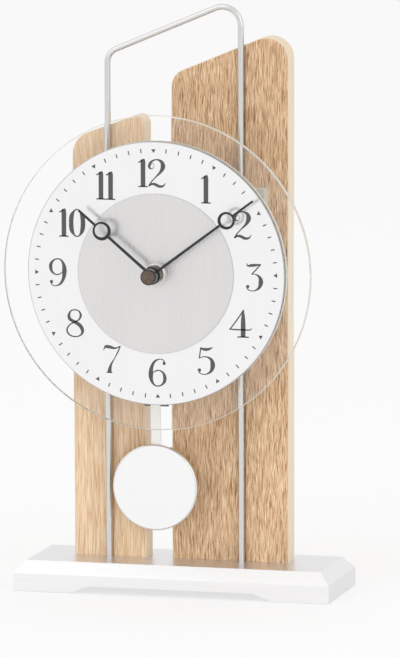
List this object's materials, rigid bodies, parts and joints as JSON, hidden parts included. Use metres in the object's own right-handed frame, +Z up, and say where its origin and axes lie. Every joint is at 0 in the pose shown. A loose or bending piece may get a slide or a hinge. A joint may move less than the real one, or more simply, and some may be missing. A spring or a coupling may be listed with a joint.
{
  "type": "desk pendulum clock",
  "caption": "Desk clock with a round glass dial and ring hands before slanted wood panels and a bent steel rod, on a low plinth, with a swinging pendulum bob.",
  "frame": {"origin": "on the table, at the bottom centre of the bounding box of the whole clock", "axes": "+Z up, the dial faces -Y, +X to the right seen from the front"},
  "size_m": [0.2047, 0.0911, 0.3634],
  "materials": {
    "plinth_satin_silver": "satin silver lacquer",
    "felt_dark": "dense dark felt",
    "zinc_steel": "zinc-plated, satin",
    "oak_laminate": "light oak grain, vertical, satin",
    "edge_cream": "matt cream edge band",
    "bright_steel": "polished",
    "grey_plastic": "matt mid grey",
    "cream_plastic": "matt cream",
    "battery_jacket": "plain dark wrap",
    "spring_steel": "satin",
    "brass_plain": "turned, satin",
    "gear_plastic": "natural off-white",
    "plate_plastic": "matt dark grey",
    "black_plastic": "matt black",
    "copper_winding": "varnished copper wire",
    "board_green": "green solder mask",
    "clear_glass": "clear, polished edge",
    "dial_silver": "silver-white satin",
    "dial_brushed": "vertical brushing",
    "hand_black": "black satin lacquer",
    "strip_silver": "satin",
    "bob_satin": "satin with a fine bright rim",
    "guard_black": "matt black"
  },
  "bodies": {
    "frame": {"base": "plinth_satin_silver", "felt_pads": "felt_dark", "panel_screws": "zinc_steel", "left_panel": "oak_laminate", "right_panel": "oak_laminate", "left_edge_band": "edge_cream", "right_edge_band": "edge_cream", "wire_frame": "bright_steel", "left_carrier": "grey_plastic", "right_carrier": "grey_plastic", "carrier_screws": "zinc_steel", "ear_screws": "zinc_steel", "front_shell": "cream_plastic", "rear_shell": "cream_plastic", "case_screws": "zinc_steel", "battery_lid": "cream_plastic", "battery": "battery_jacket", "battery_contacts": "spring_steel", "front_plate": "plate_plastic", "rear_plate": "plate_plastic", "stator": "spring_steel", "motor_coil": "copper_winding", "circuit_board": "board_green", "drive_coil": "copper_winding", "dial_backing": "cream_plastic", "glass_disc": "clear_glass", "dial_plate": "dial_silver", "dial_centre": "dial_brushed", "fixing_washer": "bright_steel", "fixing_nut": "bright_steel", "centre_bushing": "brass_plain", "pivot_pin": "spring_steel", "pendulum_guard": "guard_black", "guard_screws": "zinc_steel"},
    "minute": {"minute_arbor": "brass_plain", "minute_hand": "hand_black", "hand_boss": "hand_black"},
    "motion": {"motion_wheel": "gear_plastic", "set_knob": "black_plastic"},
    "hour": {"hour_wheel": "gear_plastic", "hour_hand": "hand_black"},
    "centre": {"centre_wheel": "gear_plastic"},
    "third": {"third_wheel": "gear_plastic"},
    "second": {"second_wheel": "gear_plastic"},
    "step": {"step_wheel": "gear_plastic"},
    "rotor": {"rotor": "gear_plastic"},
    "pendulum": {"hanger": "spring_steel", "drive_magnet": "spring_steel", "pendulum_strip": "strip_silver", "hanger_rivets": "brass_plain", "bob": "bob_satin", "bob_clip": "black_plastic"}
  },
  "joints": [
    {"name": "minute_spin", "type": "hinge", "parent": "frame", "child": "minute", "pos_m": [-0.00566, -0.0165, 0.2005], "axis": [0, 1, 0], "continuous": true},
    {"name": "motion_spin", "type": "hinge", "parent": "frame", "child": "motion", "pos_m": [0.00434, -0.0139, 0.2005], "axis": [0, 1, 0], "continuous": true},
    {"name": "hour_spin", "type": "hinge", "parent": "frame", "child": "hour", "pos_m": [-0.00566, -0.0157, 0.2005], "axis": [0, 1, 0], "continuous": true},
    {"name": "rotor_spin", "type": "hinge", "parent": "frame", "child": "rotor", "pos_m": [0.0037, -0.0075, 0.21157], "axis": [0, 1, 0], "continuous": true},
    {"name": "step_spin", "type": "hinge", "parent": "frame", "child": "step", "pos_m": [0.00145, -0.0075, 0.21546], "axis": [0, 1, 0], "continuous": true},
    {"name": "second_spin", "type": "hinge", "parent": "frame", "child": "second", "pos_m": [-0.0062, -0.0075, 0.21546], "axis": [0, 1, 0], "continuous": true},
    {"name": "third_spin", "type": "hinge", "parent": "frame", "child": "third", "pos_m": [-0.01025, -0.009, 0.20845], "axis": [0, 1, 0], "continuous": true},
    {"name": "centre_spin", "type": "hinge", "parent": "frame", "child": "centre", "pos_m": [-0.00566, -0.0101, 0.2005], "axis": [0, 1, 0], "continuous": true},
    {"name": "pendulum_swing", "type": "hinge", "parent": "frame", "child": "pendulum", "pos_m": [-0.0135, 0.0025, 0.188], "axis": [0, 1, 0], "range_deg": [-4.5, 4.5]}
  ],
  "couplings": [
    {"joint": "motion_spin", "follows": "minute_spin", "ratio": -0.33333},
    {"joint": "hour_spin", "follows": "minute_spin", "ratio": 0.083333},
    {"joint": "step_spin", "follows": "rotor_spin", "ratio": -0.25},
    {"joint": "second_spin", "follows": "rotor_spin", "ratio": 0.033333},
    {"joint": "third_spin", "follows": "rotor_spin", "ratio": -0.0041667},
    {"joint": "centre_spin", "follows": "rotor_spin", "ratio": 0.00055556}
  ]
}
